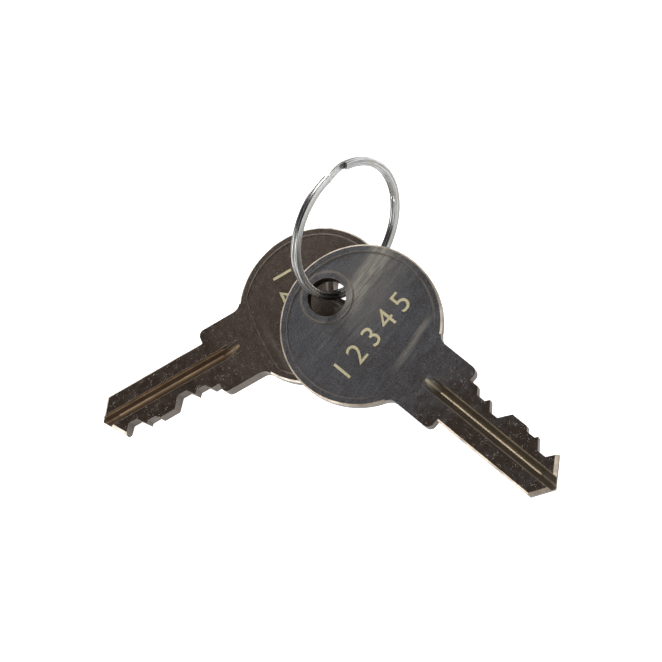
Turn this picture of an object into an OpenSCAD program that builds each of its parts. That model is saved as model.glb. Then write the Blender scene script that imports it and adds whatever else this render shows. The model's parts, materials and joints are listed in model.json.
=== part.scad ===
// Pair of flat switch-lock keys on a split ring, lying on a flat surface.
// Each key is drawn flat about its bow centre, +X towards the tip and +Y towards the cuts,
// then set down so that its hole is threaded on the ring and its tip touches the surface.

/* [Key blank] */
// Diameter of the round bow
bow_d = 24.1; // [20:0.1:30]
// Thickness of the blank
key_t = 2.05; // [1.6:0.05:2.6]
// Bow centre to the shoulder where the blade starts
shoulder_x = 18.0; // [16:0.1:22]
// Bow centre to the point of the tip
tip_x = 37.3; // [35:0.1:46]
// Width of the neck between the bow and the shoulder
neck_w = 10.9; // [9.5:0.1:14]
// Width of the blade before it is cut
blade_w = 7.4; // [6.4:0.1:9]
// Rounding of the shoulder's outer corners
shoulder_r = 1.0; // [0.4:0.1:1.4]
// Hollow rounding where the neck runs into the bow
neck_fillet_r = 1.6; // [0.6:0.1:3]
// Bevel round the bow's two edges
edge_bevel = 0.25; // [0.1:0.05:0.4]

/* [Ring hole] */
// Diameter of the hole in the bow
hole_d = 5.8; // [5.4:0.1:6.8]
// Bow centre to the hole's centre
hole_x = 6.6; // [5:0.1:8]
// Diameter of the raised land round the hole
land_d = 7.8; // [7.2:0.1:9.5]

/* [Coined panel] */
// Depth of the sunk panel on each face
panel_depth = 0.12; // [0.05:0.01:0.25]
// Width of the rim round the panel
rim_w = 1.15; // [0.8:0.05:2]
// Bow centre to the panel's end towards the blade
panel_end_x = 9.4; // [7:0.1:11]

/* [Tip] */
// How far the slope on the cut side runs back from the point
tip_back_cut = 2.9; // [1.5:0.1:4]
// How far the slope on the spine side runs back from the point
tip_back_spine = 2.1; // [1:0.1:3.5]
// Height of the point below the middle of the blade
tip_drop = 0.6; // [0:0.1:1.2]
// Bevel on both faces along the two slopes
tip_bevel = 0.5; // [0.2:0.05:0.8]

/* [Warding grooves] */
// Width of the groove on the front face
front_groove_w = 2.0; // [1.2:0.1:2.6]
// Height of the front groove's middle above the middle of the blade
front_groove_y = -0.2; // [-1:0.1:1]
// Width of the groove on the back face
back_groove_w = 1.3; // [0.8:0.1:2]
// Height of the back groove's middle above the middle of the blade
back_groove_y = 1.0; // [-1:0.1:1.6]
// Depth of both grooves
groove_depth = 0.62; // [0.3:0.02:0.8]
// Height of the fine ridge that divides the front groove
ridge_h = 0.3; // [0.1:0.02:0.4]
// Bow centre to where the grooves run out into the neck
groove_start_x = 12.8; // [11:0.1:16]
// Radius of the cutter that leaves the run-out
cutter_r = 9; // [5:0.5:16]

/* [Bitting] */
// Shoulder to the middle of the first cut
first_cut = 2.9; // [2.4:0.1:4]
// Distance between neighbouring cuts
cut_pitch = 2.95; // [2.6:0.05:3.2]
// Width of the flat at the bottom of a cut
cut_flat = 1.4; // [0.8:0.1:1.8]
// Depth of each cut from the shoulder towards the tip
cut_depths = [1.0, 1.75, 0, 0.6, 1.75]; // [0:0.05:2.2]
// Angle of a cut's sides from the line of the blade
cut_angle = 52; // [40:1:60]

/* [Split ring] */
// Inside diameter of the ring
ring_id = 19.3; // [16:0.1:26]
// Width of the wire across the ring's face
wire_w = 1.2; // [0.9:0.05:1.6]
// Thickness of one turn of the wire
wire_t = 0.5; // [0.35:0.01:0.7]
// Gap between the two turns
turn_gap = 0.05; // [0.03:0.01:0.12]
// Rounding of the wire's corners
wire_corner_r = 0.16; // [0.05:0.01:0.17]
// Half of the arc over which the wire steps from one turn to the other
step_angle = 9; // [6:1:14]
// Position of that step, anticlockwise from the ring's lowest point
step_at = 150; // [120:5:170]

/* [How it lies] */
// Lean of the ring from upright
ring_lean = 12.5; // [8:0.5:18]
// Room left between the wire and the edges of the back key's hole
hole_play = 0.1; // [0.06:0.01:0.2]
// Room left between the two bows where they cross
rest_gap = 0.2; // [0.1:0.05:0.4]
// How far the front key has slid outwards along its hole
front_slip = 0.7; // [0:0.1:1]
// Direction of the front key's blade, turned from the ring's axis
front_turn = -10; // [-16:0.5:-4]
// Direction of the back key's blade, turned from the ring's axis
back_turn = -123.5; // [-130:0.5:-117]

/* [Hidden] */
$fn = 96;
eps = 0.01;

// Key outline
bow_r = bow_d / 2;
panel_r = bow_r - rim_w;
blade_top = blade_w / 2;
neck_top = neck_w / 2;
tip_corner_cut = [tip_x - tip_back_cut, blade_top];
tip_corner_spine = [tip_x - tip_back_spine, -blade_top];
tip_point = [tip_x, -tip_drop];
fillet_x = sqrt(pow(bow_r + neck_fillet_r, 2) - pow(neck_top + neck_fillet_r, 2));
panel_end_r = 40;
// The point of the tip that touches the surface, where the two bevels meet on the lower face
cut_slope = atan2(tip_back_cut, blade_top + tip_drop);
spine_slope = atan2(tip_back_spine, blade_top - tip_drop);
touch_x = tip_x - tip_bevel * (sin(cut_slope) + sin(spine_slope)) / sin(cut_slope + spine_slope);

// Ring section and its place: local +Y is the ring's highest point
wire_r = (ring_id + wire_w) / 2;
half_stack = wire_t + turn_gap / 2;
ring_z = cos(ring_lean) * (wire_r + wire_w / 2 - wire_corner_r)
    + sin(ring_lean) * (half_stack - wire_corner_r) + wire_corner_r;
ring_turn = [90 - ring_lean, 0, 0];

// Distance of a circle of the ring from its own middle line, at a height above the surface
function ring_x(r, h) = sqrt(max(0, pow(r, 2) - pow((ring_z - h) / cos(ring_lean), 2)));
// The slanting wire's outermost and innermost edge within a key whose hole is at height h
function wire_out(h) = ring_x(wire_r + wire_w / 2, h + key_t / 2);
function wire_in(h) = ring_x(wire_r - wire_w / 2, h - key_t / 2);
// Middle of a hole threaded on the ring at height h
function hole_at(h, slip) = [-(wire_out(h) + wire_in(h)) / 2 - slip,
    -(ring_z - h) * tan(ring_lean), h];
// Downward slope of a key whose hole is at height h and whose tip touches the surface
function key_slope(h) = let (reach = hole_x + touch_x, half = key_t / 2)
    asin(h / norm([reach, half])) - atan(half / reach);
// A point of the flat key, measured from its hole, carried to where the key lies
function laid(p, at, turn) = let (slope = key_slope(at[2]), u = p[0] + hole_x,
    along = u * cos(slope) + p[2] * sin(slope))
    at + [along * cos(turn) - p[1] * sin(turn), along * sin(turn) + p[1] * cos(turn),
        p[2] * cos(slope) - u * sin(slope)];

front_dir = front_turn - 90;
back_dir = back_turn - 90;

// The back key lies as low as its hole lets it, with the wire passing through on the slant
hole_chord = sqrt(pow(hole_d, 2) - pow(2 * half_stack + key_t * tan(ring_lean), 2));
lowest_z = ring_z - (wire_r - wire_w / 2) * cos(ring_lean) + key_t / 2;
back_z = min([for (h = [lowest_z : 0.05 : ring_z])
    if (wire_out(h) - wire_in(h) + 2 * hole_play < hole_chord) h]);
back_at = hole_at(back_z, 0);

// The front key lies as low as the back key's bow lets it
function bow_rim(at, dir) = [for (a = [0 : 5 : 355]) laid([bow_r * cos(a), bow_r * sin(a), 0], at, dir)];
function on_bow(p, at, dir) = let (gap = p - laid([0, 0, 0], at, dir)) norm([gap[0], gap[1]]) < bow_r + 0.1;
function face_z(p, at, dir, side) = let (slope = key_slope(at[2]), gap = p - at)
    at[2] + side * key_t / 2 / cos(slope) - (gap[0] * cos(dir) + gap[1] * sin(dir)) * tan(slope);
function clearance(at) = min([for (p = concat(bow_rim(at, front_dir), bow_rim(back_at, back_dir)))
    if (on_bow(p, at, front_dir) && on_bow(p, back_at, back_dir))
        face_z(p, at, front_dir, -1) - face_z(p, back_at, back_dir, 1)]);
front_z = min([for (h = [back_z : 0.05 : ring_z])
    if (clearance(hole_at(h, front_slip)) > rest_gap) h]);
front_at = hole_at(front_z, front_slip);

// Outermost points of the set, from the two tips, the two bows and the ring
function rim_points(at, dir) = [for (z = [-key_t / 2, key_t / 2]) each concat(
    [for (a = [0 : 2 : 358]) laid([bow_r * cos(a), bow_r * sin(a), z], at, dir)],
    [for (p = [tip_corner_cut, tip_corner_spine, tip_point]) laid([p[0], p[1], z], at, dir)])];
key_points = concat(rim_points(front_at, front_dir), rim_points(back_at, back_dir));
ring_reach_x = wire_r + wire_w / 2;
ring_reach_y = ring_reach_x * sin(ring_lean) + half_stack * cos(ring_lean);
min_x = min([for (p = key_points) p[0]]);
max_x = max(ring_reach_x, max([for (p = key_points) p[0]]));
min_y = min([for (p = key_points) p[1]]);
max_y = max(ring_reach_y, max([for (p = key_points) p[1]]));
middle = [(min_x + max_x) / 2, (min_y + max_y) / 2, 0];

// Round plate with a bevel round both edges
module bevelled_disc(r, t, bevel) {
    rotate_extrude()
        polygon([[0, -t / 2], [r - bevel, -t / 2], [r, -t / 2 + bevel],
            [r, t / 2 - bevel], [r - bevel, t / 2], [0, t / 2]]);
}

// One side of the neck with its rounded shoulder and its hollow run into the bow
module half_neck() {
    difference() {
        polygon([[0, 0], [fillet_x, 0], [fillet_x, neck_top + neck_fillet_r]]);
        translate([fillet_x, neck_top + neck_fillet_r]) circle(neck_fillet_r);
    }
    square([shoulder_x - shoulder_r, neck_top]);
    square([shoulder_x, neck_top - shoulder_r]);
    translate([shoulder_x - shoulder_r, neck_top - shoulder_r]) circle(shoulder_r);
}

// Blade from inside the neck to the point, before the cuts are made
module blade_outline() {
    polygon([[shoulder_x - 1, -blade_top], tip_corner_spine, tip_point, tip_corner_cut,
        [shoulder_x - 1, blade_top]]);
}

// One cut of the bitting, open towards +Y
module cut_outline(depth) {
    side = depth / tan(cut_angle);
    half = cut_flat / 2;
    over = side + 1 / tan(cut_angle);
    polygon([[-half - over, blade_top + 1], [-half, blade_top - depth],
        [half, blade_top - depth], [half + over, blade_top + 1]]);
}

module key_outline() {
    difference() {
        union() {
            half_neck();
            mirror([0, 1]) half_neck();
            blade_outline();
        }
        for (i = [0 : len(cut_depths) - 1])
            if (cut_depths[i] > 0)
                translate([shoulder_x + first_cut + i * cut_pitch, 0]) cut_outline(cut_depths[i]);
    }
}

// Sunk panel on the top face, clear of the rim, the blade and the land round the hole
module panel() {
    translate([0, 0, key_t / 2 - panel_depth])
        linear_extrude(panel_depth + eps)
            difference() {
                intersection() {
                    circle(panel_r);
                    translate([panel_end_x - panel_end_r, 0]) circle(panel_end_r);
                }
                translate([-hole_x, 0]) circle(land_d / 2);
            }
}

// Straight milled groove in the top face, with the cutter's round run-out at the neck
module groove(w, y) {
    floor_z = key_t / 2 - groove_depth;
    flat_start = groove_start_x + sqrt(pow(cutter_r, 2) - pow(cutter_r - groove_depth, 2));
    translate([0, y + w / 2, 0])
        rotate([90, 0, 0])
            linear_extrude(w) {
                translate([flat_start, floor_z]) square([tip_x - flat_start + 1, groove_depth + 1]);
                translate([flat_start, floor_z + cutter_r]) circle(cutter_r);
            }
}

// Fine ridge left standing in the middle of the front groove
module ridge() {
    ridge_foot = 0.35;
    floor_z = key_t / 2 - groove_depth;
    start = groove_start_x + cutter_r / 3;
    translate([start, front_groove_y, floor_z - eps])
        rotate([90, 0, 90])
            linear_extrude(tip_x - tip_back_cut - start)
                polygon([[-ridge_foot, 0], [ridge_foot, 0], [0, ridge_h + eps]]);
}

// Takes the edge off both faces along a straight line of the outline, the metal on its left
module edge_wedge(from, to, bevel) {
    run = to - from;
    clear = 1;
    translate([from[0], from[1], 0])
        rotate([0, 0, atan2(run[1], run[0])])
            for (side = [0, 1])
                mirror([0, 0, side])
                    translate([-clear, 0, key_t / 2])
                        rotate([90, 0, 90])
                            linear_extrude(norm(run) + 2 * clear)
                                polygon([[bevel + clear, clear], [-clear, clear],
                                    [-clear, -bevel - clear]]);
}

// One whole key, flat about its bow centre
module key_blank() {
    difference() {
        union() {
            bevelled_disc(bow_r, key_t, edge_bevel);
            translate([0, 0, -key_t / 2]) linear_extrude(key_t) key_outline();
        }
        ring_hole();
        panel();
        mirror([0, 0, 1]) panel();
        groove(front_groove_w, front_groove_y);
        mirror([0, 0, 1]) groove(back_groove_w, back_groove_y);
        edge_wedge(tip_corner_spine, tip_point, tip_bevel);
        edge_wedge(tip_point, tip_corner_cut, tip_bevel);
        edge_wedge([shoulder_x + 1, -blade_top], tip_corner_spine, edge_bevel);
    }
    ridge();
}

module ring_hole() {
    translate([-hole_x, 0, 0]) cylinder(d = hole_d, h = key_t + 1, center = true);
}

// The key set down with its hole on the ring and its tip on the surface
module laid_key(at, dir) {
    translate(at - middle)
        rotate([0, key_slope(at[2]), dir])
            translate([hole_x, 0, 0]) key_blank();
}

module front_key() {
    color("slategray") laid_key(front_at, front_dir);
}

module back_key() {
    color("dimgray") laid_key(back_at, back_dir);
}

// Section of one turn, with rounded corners, its middle at the given height
module wire_section(z) {
    x0 = wire_r - wire_w / 2;
    translate([x0, z - wire_t / 2 + wire_corner_r]) square([wire_w, wire_t - 2 * wire_corner_r]);
    translate([x0 + wire_corner_r, z - wire_t / 2]) square([wire_w - 2 * wire_corner_r, wire_t]);
    for (x = [x0 + wire_corner_r, x0 + wire_w - wire_corner_r], side = [-1, 1])
        translate([x, z + side * (wire_t / 2 - wire_corner_r)]) circle(wire_corner_r, $fn = 24);
}

module wire_arc(start, sweep, z) {
    rotate([0, 0, start]) rotate_extrude(angle = sweep) wire_section(z);
}

// The short slanting stretch between the two turns, a little slimmer than the wire, so that
// its two ends run into the turns and not along them
module wire_step(z) {
    inset = 0.35 * wire_corner_r;
    half_t = wire_t / 2 - inset;
    half_run = wire_r * sin(step_angle);
    bend = half_run - 0.25;
    over = 0.5;
    path = [[-half_run - over, -z], [-bend, -z], [bend, z], [half_run + over, z]];
    intersection() {
        rotate([90, 0, 90])
            linear_extrude(2 * wire_r)
                polygon(concat([for (p = path) p - [0, half_t]],
                    [for (i = [3 : -1 : 0]) path[i] + [0, half_t]]));
        rotate([0, 0, -30])
            rotate_extrude(angle = 60)
                translate([wire_r - wire_w / 2 + inset, -wire_t * 2])
                    square([wire_w - 2 * inset, wire_t * 4]);
    }
}

// Two flat turns of one wire, one end on each face beside the step
module key_ring() {
    turn_z = (wire_t + turn_gap) / 2;
    end_gap = 1.5;
    sweep = 360 - 2 * step_angle - end_gap;
    color("silver")
        translate([0, 0, ring_z] - middle)
            rotate(ring_turn)
                rotate([0, 0, step_at - 90]) {
                    wire_arc(step_angle, sweep, turn_z);
                    wire_arc(step_angle + end_gap, sweep, -turn_z);
                    wire_step(turn_z);
                }
}

front_key();
back_key();
key_ring();
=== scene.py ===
import json
from math import asin, atan2, cos, radians, sin

import bpy
import numpy as np
from mathutils import Matrix, Vector


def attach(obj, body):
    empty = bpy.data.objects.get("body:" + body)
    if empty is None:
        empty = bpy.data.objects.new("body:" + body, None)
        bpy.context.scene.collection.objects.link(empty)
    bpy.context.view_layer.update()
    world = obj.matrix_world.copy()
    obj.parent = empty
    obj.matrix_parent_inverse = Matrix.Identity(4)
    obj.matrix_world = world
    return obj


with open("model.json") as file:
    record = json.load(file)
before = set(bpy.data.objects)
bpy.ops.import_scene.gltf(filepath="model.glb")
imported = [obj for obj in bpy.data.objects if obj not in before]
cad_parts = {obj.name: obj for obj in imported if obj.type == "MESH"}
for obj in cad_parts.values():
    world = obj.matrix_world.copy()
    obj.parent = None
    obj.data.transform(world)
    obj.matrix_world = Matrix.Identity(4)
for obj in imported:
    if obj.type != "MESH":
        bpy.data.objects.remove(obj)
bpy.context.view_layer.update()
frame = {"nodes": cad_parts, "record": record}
mounts = {m["name"]: m for m in frame["record"]["mounts"]}
print("frame loaded:", sorted(frame["nodes"]))

# Places on a flat key, in millimetres from the middle of its bow
keyForm = {
    "shoulder": 18.0,       # bow middle to shoulder, where the record's mount stands
    "thickness": 2.05,
    "panelDepth": 0.12,
    "panelRadius": 10.9,
    "holeX": -6.6,
    "landRadius": 3.9,
    "grooveStart": 12.6,
    "grooveY": -0.2,
    "grooveHalf": 1.02,
}


def keyPlace(mountName):
    # Middle of the bow and the turn of a key, from where its shoulder is and which way it points
    axis = Vector(mounts[mountName]["axis"]).normalized()
    middle = Vector(mounts[mountName]["pos_m"]) - axis * keyForm["shoulder"] / 1000
    return middle, (0.0, asin(-axis.z), atan2(axis.y, axis.x))


def addNode(tree, kind, feed=None, **props):
    # One node, its settings, and its inputs as plain values or as sockets to link from
    node = tree.nodes.new("ShaderNode" + kind)
    for name, value in props.items():
        setattr(node, name, value)
    for name, value in (feed or {}).items():
        socket = node.inputs[name]
        if isinstance(value, bpy.types.NodeSocket):
            tree.links.new(value, socket)
        else:
            socket.default_value = value
    return node


def mathOf(tree, operation, a, b=0.0, c=0.0, clamp=False):
    node = addNode(tree, "Math", {0: a, 1: b, 2: c}, operation=operation, use_clamp=clamp)
    return node.outputs[0]


def stepOf(tree, value, low, high, invert=False):
    # Soft step: 0 below low and 1 above high, or the other way round
    ends = (1.0, 0.0) if invert else (0.0, 1.0)
    node = addNode(tree, "MapRange", {"Value": value, "From Min": low, "From Max": high,
                                      "To Min": ends[0], "To Max": ends[1]},
                   interpolation_type="SMOOTHSTEP")
    return node.outputs[0]


def mixColor(tree, factor, a, b):
    node = tree.nodes.new("ShaderNodeMix")
    node.data_type = "RGBA"
    for socket, value in ((node.inputs[0], factor), (node.inputs[6], a), (node.inputs[7], b)):
        if isinstance(value, bpy.types.NodeSocket):
            tree.links.new(value, socket)
        else:
            socket.default_value = value
    return node.outputs[2]


def newGroup(name, inputs, outputs):
    # Empty node group with named sockets; each input is (name, kind, default)
    tree = bpy.data.node_groups.new(name, "ShaderNodeTree")
    for label, kind, default in inputs:
        socket = tree.interface.new_socket(label, in_out="INPUT", socket_type="NodeSocket" + kind)
        if default is not None:
            socket.default_value = default
    for label, kind in outputs:
        tree.interface.new_socket(label, in_out="OUTPUT", socket_type="NodeSocket" + kind)
    return tree, tree.nodes.new("NodeGroupInput"), tree.nodes.new("NodeGroupOutput")


def useGroup(tree, group, feed):
    node = tree.nodes.new("ShaderNodeGroup")
    node.node_tree = group
    for name, value in feed.items():
        if isinstance(value, bpy.types.NodeSocket):
            tree.links.new(value, node.inputs[name])
        else:
            node.inputs[name].default_value = value
    return node


def startMaterial(name):
    material = bpy.data.materials.new(name)
    material.use_nodes = True
    return material, material.node_tree, material.node_tree.nodes["Principled BSDF"]


def localPlace(tree, coords, middle, turn):
    # Place on a piece in millimetres, from its own middle and along its own directions
    mapping = addNode(tree, "Mapping", {"Vector": coords.outputs["Object"], "Location": middle,
                                        "Rotation": turn, "Scale": (0.001, 0.001, 0.001)},
                      vector_type="TEXTURE")
    return mapping.outputs["Vector"]


def finishMetal(tree, shader, color, rough, height, bumpStrength, metallic):
    bump = addNode(tree, "Bump", {"Strength": bumpStrength, "Distance": 0.00003,
                                  "Height": height})
    tree.links.new(color, shader.inputs["Base Color"])
    tree.links.new(rough, shader.inputs["Roughness"])
    tree.links.new(bump.outputs["Normal"], shader.inputs["Normal"])
    shader.inputs["Metallic"].default_value = metallic


def dress(piece, material):
    piece.data.materials.clear()
    piece.data.materials.append(material)


def tarnishGroup():
    # Cloudy patches: broad noise warped by itself, with small dark freckles on top
    tree, start, end = newGroup("tarnish",
                                [("Place", "Vector", None), ("Patch Size", "Float", 3.0),
                                 ("Freckles", "Float", 0.5)],
                                [("Patches", "Float"), ("Freckle Mask", "Float")])
    scale = mathOf(tree, "DIVIDE", 1.0, start.outputs["Patch Size"])
    broad = addNode(tree, "TexNoise", {"Vector": start.outputs["Place"], "Scale": scale,
                                       "Detail": 5.0, "Roughness": 0.62, "Distortion": 0.6})
    patches = stepOf(tree, broad.outputs["Fac"], 0.36, 0.66)
    fine = addNode(tree, "TexNoise", {"Vector": start.outputs["Place"], "Scale": 3.4,
                                      "Detail": 3.0, "Roughness": 0.7})
    freckle = stepOf(tree, fine.outputs["Fac"], 0.56, 0.68)
    freckle = mathOf(tree, "MULTIPLY", freckle, start.outputs["Freckles"])
    tree.links.new(patches, end.inputs["Patches"])
    tree.links.new(freckle, end.inputs["Freckle Mask"])
    return tree


def grainGroup():
    # Rolled and tumbled metal: very fine pits and hairline scratches one way, and sparkling points, a mask
    # that is painted as glints
    tree, start, end = newGroup("metalGrain",
                                [("Place", "Vector", None), ("Pit Scale", "Float", 9.0),
                                 ("Line Scale", "Float", 5.0)],
                                [("Height", "Float"), ("Sparkle", "Float"), ("Lines", "Float"),
                                 ("Mottle", "Float")])
    place = start.outputs["Place"]
    pits = addNode(tree, "TexNoise", {"Vector": place, "Scale": start.outputs["Pit Scale"],
                                      "Detail": 4.0, "Roughness": 0.75})
    cells = addNode(tree, "TexVoronoi", {"Vector": place, "Scale": 4.6, "Randomness": 1.0})
    cellSize = addNode(tree, "TexNoise", {"Vector": place, "Scale": 1.3, "Detail": 2.0})
    reach = mathOf(tree, "MULTIPLY", cellSize.outputs["Fac"], 0.36)
    sparkle = mathOf(tree, "LESS_THAN", cells.outputs["Distance"], reach)
    near = mathOf(tree, "GREATER_THAN", cellSize.outputs["Fac"], 0.54)
    sparkle = mathOf(tree, "MULTIPLY", sparkle, near)
    stretch = addNode(tree, "Mapping", {"Vector": place, "Scale": (1.0, 0.06, 0.06)})
    lines = addNode(tree, "TexNoise", {"Vector": stretch.outputs["Vector"],
                                       "Scale": start.outputs["Line Scale"],
                                       "Detail": 6.0, "Roughness": 0.72})
    height = mathOf(tree, "MULTIPLY_ADD", lines.outputs["Fac"], 0.6, pits.outputs["Fac"])
    tree.links.new(height, end.inputs["Height"])
    tree.links.new(sparkle, end.inputs["Sparkle"])
    tree.links.new(lines.outputs["Fac"], end.inputs["Lines"])
    tree.links.new(stepOf(tree, pits.outputs["Fac"], 0.38, 0.62), end.inputs["Mottle"])
    return tree


def edgeGroup():
    # Worn edges: where the surface turns within a small radius, broken up by noise
    tree, start, end = newGroup("edgeWear",
                                [("Place", "Vector", None), ("Radius", "Float", 0.00012),
                                 ("Breakup", "Float", 0.5)],
                                [("Mask", "Float")])
    soft = addNode(tree, "Bevel", {"Radius": start.outputs["Radius"]}, samples=6)
    own = addNode(tree, "NewGeometry")
    turn = addNode(tree, "VectorMath", {0: soft.outputs["Normal"], 1: own.outputs["True Normal"]},
                   operation="DOT_PRODUCT")
    bend = stepOf(tree, turn.outputs["Value"], 0.82, 0.985, invert=True)
    noise = addNode(tree, "TexNoise", {"Vector": start.outputs["Place"], "Scale": 1.7,
                                       "Detail": 4.0})
    keep = mathOf(tree, "MULTIPLY_ADD", noise.outputs["Fac"], start.outputs["Breakup"],
                  0.75, clamp=True)
    tree.links.new(mathOf(tree, "MULTIPLY", bend, keep, clamp=True), end.inputs["Mask"])
    return tree


tarnish, metalGrain, edgeWear = tarnishGroup(), grainGroup(), edgeGroup()
print("shared effects ready")


frontLook = {
    "plate": (0.33, 0.33, 0.35, 1),        # dull nickel
    "stain": (0.10, 0.075, 0.058, 1),      # brown tarnish
    "neckStain": 0.8,                      # how far the neck and blade go brown
    "groove": (0.13, 0.105, 0.075, 1),     # old brass in the groove
    # Colour of the painted highlight lines in the groove
    "grooveBright": (0.62, 0.53, 0.39, 1),
    # wall: painted shade on the side walls; edge: a painted highlight on the bevels, and the colour of
    # worn edges
    "wall": (0.075, 0.057, 0.044, 1),
    "edge": (0.42, 0.36, 0.29, 1),
    # Strength of the painted reflection streaks on the faces
    "rubbed": 1.0,
    "patch": 3.4,
}
backLook = {
    "plate": (0.18, 0.14, 0.115, 1),
    "stain": (0.06, 0.042, 0.032, 1),
    "neckStain": 0.6,
    "groove": (0.12, 0.08, 0.05, 1),
    # Colour of the painted highlight lines in the groove
    "grooveBright": (0.60, 0.45, 0.29, 1),
    # wall: painted shade on the side walls; edge: a painted highlight on the bevels, and the colour of
    # worn edges
    "wall": (0.085, 0.07, 0.058, 1),
    "edge": (0.55, 0.50, 0.43, 1),
    # Strength of the painted reflection streaks on the faces
    "rubbed": 0.15,
    "patch": 2.6,
}


# Wear marks and painted light, shared by both keys: mm along or across the key, unless a note says
# otherwise
keyWearAndPaintedLight = {
    "flatFace": (0.75, 0.93),        # how level a face is, from none to fully flat
    "bevelFace": (0.35, 0.6),        # the same for the bevels between face and wall
    # Painted highlight lines on the panel's rim step and around the hole's land
    "rimLine": (0.05, 0.22, 0.35),   # inner and outer half width, and strength
    "landLine": (0.06, 0.3, 0.5),
    "bowEnd": (7.0, 9.0),            # where the rim's line fades out
    "neckFade": (8.0, 20.0),         # where the brown of the blade comes in
    # Painted reflection streaks of the lamps on the faces, and a wider painted sheen near them, placed by
    # the next six entries
    "rub": (2.9, 0.2, 0.1, 2.2),     # place, slant, inner and outer half width
    "rubAcross": (-1.0, 5.0),
    "neckGlareBand": (8.2, 0.11, 0.1, 0.8),
    "neckGlareBandAcross": (-3.5, 1.0, 5.0, 8.5),
    "sheen": (1.5, 0.5, 7.0),        # place, inner and outer half width
    "sheenAcross": (-9.0, 6.0),
    "runOut": (12.9, 15.6),          # painted highlight at the end of the groove
    # Painted highlight lines along the groove's ridge and along its sides
    "ridgeLine": (0.08, 0.2),
    "sideLine": (0.22, 0.1),         # in from the groove's sides
    "point": (0.3, 0.12),            # how fast the brass widens from its start, first half width
    "dull": (0.012, 0.010, 0.010, 1),
    "freckle": (0.03, 0.026, 0.025, 1),
    # Colour of the painted glints
    "sparkle": (0.75, 0.68, 0.60, 1),
    # Colour of the painted reflection streaks
    "glareColor": (0.95, 0.88, 0.76, 1),
    # Colour of the painted highlight lines
    "line": (0.62, 0.55, 0.46, 1),
}


def grooveMask(tree, u, w, fromMiddle):
    # Inside the upper groove, below the face and above the key's middle plane
    half = keyForm["thickness"] / 2
    inside = mathOf(tree, "LESS_THAN", fromMiddle, keyForm["grooveHalf"] + 0.02)
    inside = mathOf(tree, "MULTIPLY", inside,
                    mathOf(tree, "GREATER_THAN", u, keyForm["grooveStart"]))
    inside = mathOf(tree, "MULTIPLY", inside, mathOf(tree, "LESS_THAN", w, half - 0.02))
    return mathOf(tree, "MULTIPLY", inside, mathOf(tree, "GREATER_THAN", w, 0.25))


def stepHighlightLines(tree, u, v, flat):
    # Painted highlights: thin light lines where the panel meets its rim and where the land meets the
    # panel, standing for light caught on these steps
    across = addNode(tree, "CombineXYZ", {0: u, 1: v}).outputs[0]
    fromBow = addNode(tree, "VectorMath", {0: across}, operation="LENGTH").outputs["Value"]
    fromHole = addNode(tree, "VectorMath", {0: across, 1: (keyForm["holeX"], 0, 0)},
                       operation="DISTANCE").outputs["Value"]
    inner, outer, rimStrength = keyWearAndPaintedLight["rimLine"]
    gap = mathOf(tree, "ABSOLUTE", mathOf(tree, "SUBTRACT", fromBow, keyForm["panelRadius"]))
    rim = mathOf(tree, "MULTIPLY", stepOf(tree, gap, inner, outer, invert=True),
                 stepOf(tree, u, *keyWearAndPaintedLight["bowEnd"], invert=True))
    inner, outer, landStrength = keyWearAndPaintedLight["landLine"]
    gap = mathOf(tree, "ABSOLUTE", mathOf(tree, "SUBTRACT", fromHole, keyForm["landRadius"]))
    land = stepOf(tree, gap, inner, outer, invert=True)
    line = mathOf(tree, "MAXIMUM", mathOf(tree, "MULTIPLY", rim, rimStrength),
                  mathOf(tree, "MULTIPLY", land, landStrength))
    return mathOf(tree, "MULTIPLY", line, flat)


def rubbedMask(tree, u, v, streak, amount):
    # Painted reflections: a broad band by the hole and a narrow one by the neck, painted bright for lamps
    # reflected in the faces, with a soft painted sheen
    place, slant, inner, outer = keyWearAndPaintedLight["rub"]
    lean = mathOf(tree, "MULTIPLY_ADD", v, slant, u)
    band = mathOf(tree, "ABSOLUTE", mathOf(tree, "ADD", lean, place))
    band = mathOf(tree, "MULTIPLY", stepOf(tree, band, inner, outer, invert=True),
                  stepOf(tree, v, *keyWearAndPaintedLight["rubAcross"]))
    place, slant, inner, outer = keyWearAndPaintedLight["neckGlareBand"]
    neckBand = mathOf(tree, "SUBTRACT", mathOf(tree, "MULTIPLY_ADD", v, slant, u), place)
    neckBand = mathOf(tree, "ABSOLUTE", neckBand)
    fadeIn, fullFrom, fullTo, fadeOut = keyWearAndPaintedLight["neckGlareBandAcross"]
    span = mathOf(tree, "MULTIPLY", stepOf(tree, v, fadeIn, fullFrom),
                  stepOf(tree, v, fullTo, fadeOut, invert=True))
    neckBand = mathOf(tree, "MULTIPLY", stepOf(tree, neckBand, inner, outer, invert=True), span)
    rubbed = mathOf(tree, "MULTIPLY_ADD", neckBand, 0.5, band, clamp=True)
    rubbed = mathOf(tree, "MULTIPLY", rubbed, mathOf(tree, "MULTIPLY_ADD", streak, 0.6, 0.4))
    place, inner, outer = keyWearAndPaintedLight["sheen"]
    sheen = mathOf(tree, "ABSOLUTE", mathOf(tree, "ADD", lean, place))
    sheen = mathOf(tree, "MULTIPLY", stepOf(tree, sheen, inner, outer, invert=True),
                   stepOf(tree, v, *keyWearAndPaintedLight["sheenAcross"]))
    rubbed = mathOf(tree, "MULTIPLY_ADD", sheen, 0.22, rubbed, clamp=True)
    return mathOf(tree, "MULTIPLY", rubbed, amount)


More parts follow.
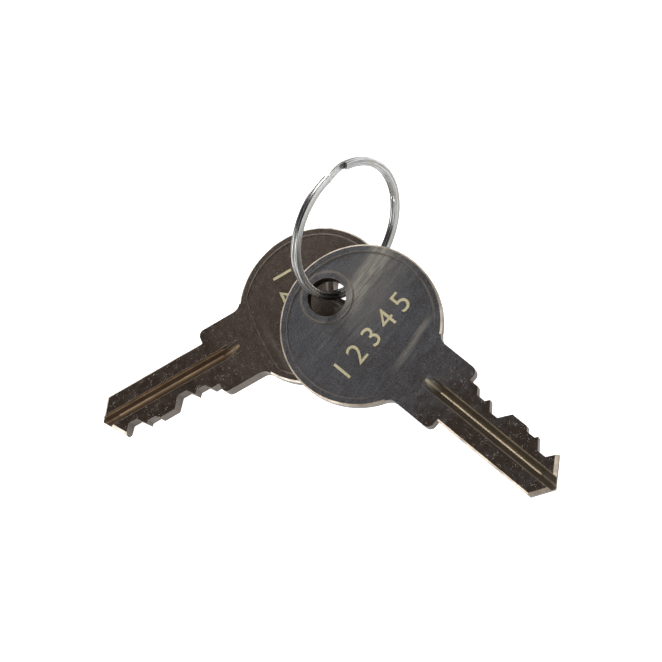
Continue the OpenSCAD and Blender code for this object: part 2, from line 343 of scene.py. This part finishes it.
def plateColor(tree, u, patches, grain, look):
    # Nickel, browned in patches and towards the blade, mottled and freckled, with painted glints as
    # sparkle
    toBlade = mathOf(tree, "MULTIPLY", stepOf(tree, u, *keyWearAndPaintedLight["neckFade"]), look["neckStain"])
    brown = mathOf(tree, "MULTIPLY_ADD", patches.outputs["Patches"], 0.45, toBlade, clamp=True)
    color = mixColor(tree, brown, look["plate"], look["stain"])
    dull = mixColor(tree, 0.72, color, keyWearAndPaintedLight["dull"])
    color = mixColor(tree, mathOf(tree, "MULTIPLY_ADD", grain.outputs["Mottle"], 0.75, 0.25),
                     dull, color)
    freckle = mathOf(tree, "MULTIPLY", patches.outputs["Freckle Mask"], 0.7)
    color = mixColor(tree, freckle, color, keyWearAndPaintedLight["freckle"])
    sparkle = mathOf(tree, "MULTIPLY", grain.outputs["Sparkle"],
                     mathOf(tree, "MULTIPLY_ADD", toBlade, 0.7, 0.3))
    return mixColor(tree, sparkle, color, keyWearAndPaintedLight["sparkle"]), brown


def grooveColor(tree, u, fromMiddle, patches, look):
    # Brass, with painted highlights at the run-out, along the ridge and along both sides
    runOut = mathOf(tree, "MULTIPLY", stepOf(tree, u, *keyWearAndPaintedLight["runOut"], invert=True), 0.55)
    ridge = stepOf(tree, fromMiddle, *keyWearAndPaintedLight["ridgeLine"], invert=True)
    outer, inner = keyWearAndPaintedLight["sideLine"]
    sides = stepOf(tree, fromMiddle, keyForm["grooveHalf"] - outer, keyForm["grooveHalf"] - inner)
    bright = mathOf(tree, "MULTIPLY_ADD", mathOf(tree, "MAXIMUM", ridge, sides), 0.5, runOut,
                    clamp=True)
    bright = mathOf(tree, "MULTIPLY", bright,
                    mathOf(tree, "MULTIPLY_ADD", patches.outputs["Patches"], 0.4, 0.6))
    return mixColor(tree, bright, look["groove"], look["grooveBright"])


def keyMaterial(name, place, look):
    material, tree, shader = startMaterial(name)
    middle, turn = place
    coords = addNode(tree, "TexCoord")
    p = localPlace(tree, coords, middle, turn)
    facing = addNode(tree, "Mapping", {"Vector": coords.outputs["Normal"], "Rotation": turn},
                     vector_type="TEXTURE")
    u, v, w = addNode(tree, "SeparateXYZ", {0: p}).outputs
    level = addNode(tree, "SeparateXYZ", {0: facing.outputs["Vector"]}).outputs[2]
    level = mathOf(tree, "ABSOLUTE", level)
    flat = stepOf(tree, level, *keyWearAndPaintedLight["flatFace"])
    fromMiddle = mathOf(tree, "ABSOLUTE", mathOf(tree, "SUBTRACT", v, keyForm["grooveY"]))
    inGroove = grooveMask(tree, u, w, fromMiddle)
    wall = mathOf(tree, "MULTIPLY", mathOf(tree, "SUBTRACT", 1.0, flat),
                  mathOf(tree, "SUBTRACT", 1.0, inGroove))
    patches = useGroup(tree, tarnish, {"Place": p, "Patch Size": look["patch"], "Freckles": 0.75})
    grain = useGroup(tree, metalGrain, {"Place": p, "Pit Scale": 7.5, "Line Scale": 4.0})
    edges = useGroup(tree, edgeWear, {"Place": p, "Radius": 0.00016, "Breakup": 0.6})

    color, brown = plateColor(tree, u, patches, grain, look)
    streak = stepOf(tree, grain.outputs["Lines"], 0.34, 0.66)
    # Painted reflection streaks and sheen, laid on as a bright colour
    rubbed = rubbedMask(tree, u, v, streak, look["rubbed"])
    color = mixColor(tree, rubbed, color, keyWearAndPaintedLight["glareColor"])
    # Painted highlight lines on the panel's rim and around the land
    color = mixColor(tree, stepHighlightLines(tree, u, v, flat), color, keyWearAndPaintedLight["line"])

    # The brass shows first in a point, and fills the groove further down the blade
    widening, firstWidth = keyWearAndPaintedLight["point"]
    point = mathOf(tree, "MULTIPLY_ADD", mathOf(tree, "SUBTRACT", u, keyForm["grooveStart"]),
                   widening, firstWidth)
    cut = mathOf(tree, "MULTIPLY", inGroove, mathOf(tree, "LESS_THAN", fromMiddle, point))
    color = mixColor(tree, cut, color, grooveColor(tree, u, fromMiddle, patches, look))

    # Walls get painted shade, the bevels above them a painted highlight, and the sharp edges of flat faces
    # are worn
    bevel = mixColor(tree, mathOf(tree, "MULTIPLY", patches.outputs["Patches"], 0.6),
                     look["edge"], look["wall"])
    wallColor = mixColor(tree, stepOf(tree, level, *keyWearAndPaintedLight["bevelFace"]), look["wall"], bevel)
    color = mixColor(tree, wall, color, wallColor)
    worn = mathOf(tree, "MULTIPLY", edges.outputs["Mask"], flat)
    color = mixColor(tree, mathOf(tree, "MULTIPLY", worn, 0.7), color, look["edge"])

    rough = mathOf(tree, "MULTIPLY_ADD", brown, 0.1, 0.36)
    rough = mathOf(tree, "MULTIPLY_ADD", streak, 0.08, rough)
    rough = mathOf(tree, "MULTIPLY_ADD", rubbed, -0.08, rough)
    finishMetal(tree, shader, color, rough, grain.outputs["Height"], 0.28, 1.0)
    return material


places = {"front": keyPlace("front_blade"), "back": keyPlace("back_blade")}
frontMetal = keyMaterial("frontKeyMetal", places["front"], frontLook)
backMetal = keyMaterial("backKeyMetal", places["back"], backLook)


ringLook = {
    "steel": (0.40, 0.405, 0.41, 1),
    "dark": (0.09, 0.09, 0.088, 1),
    "tint": (0.20, 0.185, 0.15, 1),
    "edge": (0.8, 0.8, 0.8, 1),
    "stretch": (1.2, 6.0, 9.0),     # round the ring, outwards and through its turns
}


def ringMaterial():
    # Drawn wire: streaks run round the ring, stretched by angle, radius and depth
    material, tree, shader = startMaterial("ringSteel")
    loop = mounts["ring_loop"]
    turn = Vector(loop["axis"]).to_track_quat("Z", "Y").to_euler()
    p = localPlace(tree, addNode(tree, "TexCoord"), Vector(loop["pos_m"]), turn)
    x, y, z = addNode(tree, "SeparateXYZ", {0: p}).outputs
    angle = mathOf(tree, "ARCTAN2", y, x)
    inPlane = addNode(tree, "CombineXYZ", {0: x, 1: y}).outputs[0]
    radius = addNode(tree, "VectorMath", {0: inPlane}, operation="LENGTH").outputs["Value"]
    along = addNode(tree, "CombineXYZ", {0: mathOf(tree, "SINE", angle), 1: radius, 2: z})
    along = addNode(tree, "Mapping", {"Vector": along.outputs[0], "Scale": ringLook["stretch"]})
    lines = addNode(tree, "TexNoise", {"Vector": along.outputs["Vector"], "Scale": 1.4,
                                       "Detail": 5.0, "Roughness": 0.65})
    streak = stepOf(tree, lines.outputs["Fac"], 0.36, 0.62)
    patches = useGroup(tree, tarnish, {"Place": p, "Patch Size": 1.6, "Freckles": 0.5})
    edges = useGroup(tree, edgeWear, {"Place": p, "Radius": 0.0001, "Breakup": 0.4})
    color = mixColor(tree, streak, ringLook["dark"], ringLook["steel"])
    color = mixColor(tree, mathOf(tree, "MULTIPLY", patches.outputs["Patches"], 0.5), color,
                     ringLook["tint"])
    color = mixColor(tree, mathOf(tree, "MULTIPLY", edges.outputs["Mask"], 0.7), color,
                     ringLook["edge"])
    rough = mathOf(tree, "MULTIPLY_ADD", streak, 0.14, 0.2)
    finishMetal(tree, shader, color, rough, lines.outputs["Fac"], 0.25, 1.0)
    return material


ringSteel = ringMaterial()
dress(frame["nodes"]["front_key"], frontMetal)
dress(frame["nodes"]["back_key"], backMetal)
dress(frame["nodes"]["key_ring"], ringSteel)
print("metals placed")


stamp = {
    "marks": "12345",       # placeholder digits
    "height": 4.6,          # type size, mm
    "spacing": 1.42,
    "across": 2.45,         # middle of the row, mm from the bow's middle towards the blade
    "depth": 0.05,          # thickness of the figures, mm
    "weight": -0.015,       # added to each stroke, mm
    "lift": 0.012,          # middle of the figures above the panel's floor, mm
    "light": (0.50, 0.45, 0.28, 1),
    "shade": (0.30, 0.26, 0.16, 1),
    "freckle": (0.2, 0.17, 0.12, 1),
}


def stampMaterial(name, place):
    material, tree, shader = startMaterial(name)
    p = localPlace(tree, addNode(tree, "TexCoord"), *place)
    patches = useGroup(tree, tarnish, {"Place": p, "Patch Size": 0.9, "Freckles": 0.6})
    grain = useGroup(tree, metalGrain, {"Place": p, "Pit Scale": 6.0})
    color = mixColor(tree, mathOf(tree, "MULTIPLY", patches.outputs["Patches"], 0.45),
                     stamp["light"], stamp["shade"])
    color = mixColor(tree, mathOf(tree, "MULTIPLY", patches.outputs["Freckle Mask"], 0.4), color,
                     stamp["freckle"])
    rough = mathOf(tree, "MULTIPLY_ADD", patches.outputs["Patches"], 0.15, 0.55)
    finishMetal(tree, shader, color, rough, grain.outputs["Height"], 0.3, 0.35)
    return material


def stampedCode(name, place, body):
    # Thin figures on the panel's floor: type is made a mesh, then each point is carried from the
    # line of type (x along it, y up it) to the key (y along the row, -x up it) and to its place
    curve = bpy.data.curves.new(name, "FONT")
    curve.body = stamp["marks"]
    curve.size = stamp["height"]
    curve.space_character = stamp["spacing"]
    curve.extrude = stamp["depth"] / 2
    curve.offset = stamp["weight"]
    curve.resolution_u = 6
    curve.align_x, curve.align_y = "CENTER", "CENTER"
    holder = bpy.data.objects.new(name + "Type", curve)
    bpy.context.collection.objects.link(holder)
    bpy.context.view_layer.update()
    graph = bpy.context.evaluated_depsgraph_get()
    mesh = bpy.data.meshes.new_from_object(holder.evaluated_get(graph))
    bpy.data.objects.remove(holder)
    flat = np.empty(len(mesh.vertices) * 3)
    mesh.vertices.foreach_get("co", flat)
    flat = flat.reshape(-1, 3)
    flat[:, :2] -= (flat[:, :2].max(0) + flat[:, :2].min(0)) / 2
    floor = keyForm["thickness"] / 2 - keyForm["panelDepth"] + stamp["lift"]
    onKey = np.stack([stamp["across"] - flat[:, 1], flat[:, 0],
                      flat[:, 2] + floor], 1) / 1000
    middle, (roll, pitch, yaw) = place
    turn = np.array(Matrix.Rotation(yaw, 3, "Z") @ Matrix.Rotation(pitch, 3, "Y"))
    mesh.vertices.foreach_set("co", (onKey @ turn.T + np.array(middle)).ravel())
    mesh.update()
    piece = bpy.data.objects.new(name, mesh)
    bpy.context.collection.objects.link(piece)
    dress(piece, stampMaterial(name + "Metal", place))
    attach(piece, body)
    return piece


stampedCode("frontCode", places["front"], "upper_key")
stampedCode("backCode", places["back"], "lower_key")
print("codes struck")


studio = {
    "floorSize": 3.0,
    "floorGlow": 1.0,
    "floorColor": (0.92, 0.92, 0.92, 1),
    "sky": (0.055, 0.055, 0.06, 1),
    "horizon": (0.75, 0.75, 0.74, 1),
    "skyFade": (0.15, 0.6),
    # name, place, width and power of each lamp
    "lamps": [("softLeft", (-0.45, 0.10, 0.28), 0.25, 3.0),
              ("softBehind", (0.30, 0.50, 0.30), 0.30, 3.0),
              ("softFront", (0.25, -0.45, 0.35), 0.30, 2.0)],
    "lampTarget": (0, 0, 0.004),
}


def floorPlane():
    half = studio["floorSize"] / 2
    mesh = bpy.data.meshes.new("floor")
    corners = [(-half, -half, 0), (half, -half, 0), (half, half, 0), (-half, half, 0)]
    mesh.from_pydata(corners, [], [(0, 1, 2, 3)])
    floor = bpy.data.objects.new("floor", mesh)
    bpy.context.collection.objects.link(floor)
    material, _, shader = startMaterial("paleFloor")
    shader.inputs["Base Color"].default_value = studio["floorColor"]
    shader.inputs["Roughness"].default_value = 0.9
    shader.inputs["Emission Color"].default_value = (1, 1, 1, 1)
    shader.inputs["Emission Strength"].default_value = studio["floorGlow"]
    dress(floor, material)


def skyDome():
    # Pale at the horizon and dark overhead, so flat metal looks dark and walls look bright
    world = bpy.data.worlds.new("studioSky")
    world.use_nodes = True
    tree = world.node_tree
    coords = addNode(tree, "TexCoord")
    height = addNode(tree, "SeparateXYZ", {0: coords.outputs["Generated"]}).outputs[2]
    color = mixColor(tree, stepOf(tree, height, *studio["skyFade"]), studio["horizon"],
                     studio["sky"])
    tree.links.new(color, tree.nodes["Background"].inputs["Color"])
    bpy.context.scene.world = world


def areaLight(name, spot, size, power):
    light = bpy.data.lights.new(name, "AREA")
    light.shape = "DISK"
    light.size = size
    light.energy = power
    lamp = bpy.data.objects.new(name, light)
    lamp.location = spot
    lamp.rotation_euler = (Vector(studio["lampTarget"]) - Vector(spot)).to_track_quat("-Z", "Y").to_euler()
    bpy.context.collection.objects.link(lamp)


floorPlane()
skyDome()
for lamp in studio["lamps"]:
    areaLight(*lamp)

# Camera: turned about the vertical, raised, rolled about its own axis, aimed off the frame's origin
cameraSet = {
    "turn": 14.38,
    "raise": 63.89,
    "roll": 46.03,
    "distance": 0.2930,
    "aim": (0.00033, 0.00804),   # across and up from the origin, in the camera's unrolled plane
    "focal": 108.7,         # mm, on a 36 mm sensor
}


def placeCamera():
    turn, rise, roll = (radians(cameraSet[k]) for k in ("turn", "raise", "roll"))
    spin = Matrix.Rotation(-turn, 3, "Z")
    right = spin @ Vector((1, 0, 0))
    up = spin @ Vector((0, sin(rise), cos(rise)))
    back = spin @ Vector((0, -cos(rise), sin(rise)))
    aim = right * cameraSet["aim"][0] + up * cameraSet["aim"][1]
    acrossImage = cos(roll) * right - sin(roll) * up
    upImage = sin(roll) * right + cos(roll) * up
    camera = bpy.data.objects.new("camera", bpy.data.cameras.new("camera"))
    camera.data.sensor_width = 36
    camera.data.lens = cameraSet["focal"]
    camera.data.clip_start = 0.01
    camera.matrix_world = Matrix.Translation(aim + back * cameraSet["distance"]) @ \
        Matrix((acrossImage, upImage, back)).transposed().to_4x4()
    bpy.context.collection.objects.link(camera)
    bpy.context.scene.camera = camera


placeCamera()
bpy.context.scene.view_settings.view_transform = "Standard"
print("studio ready")
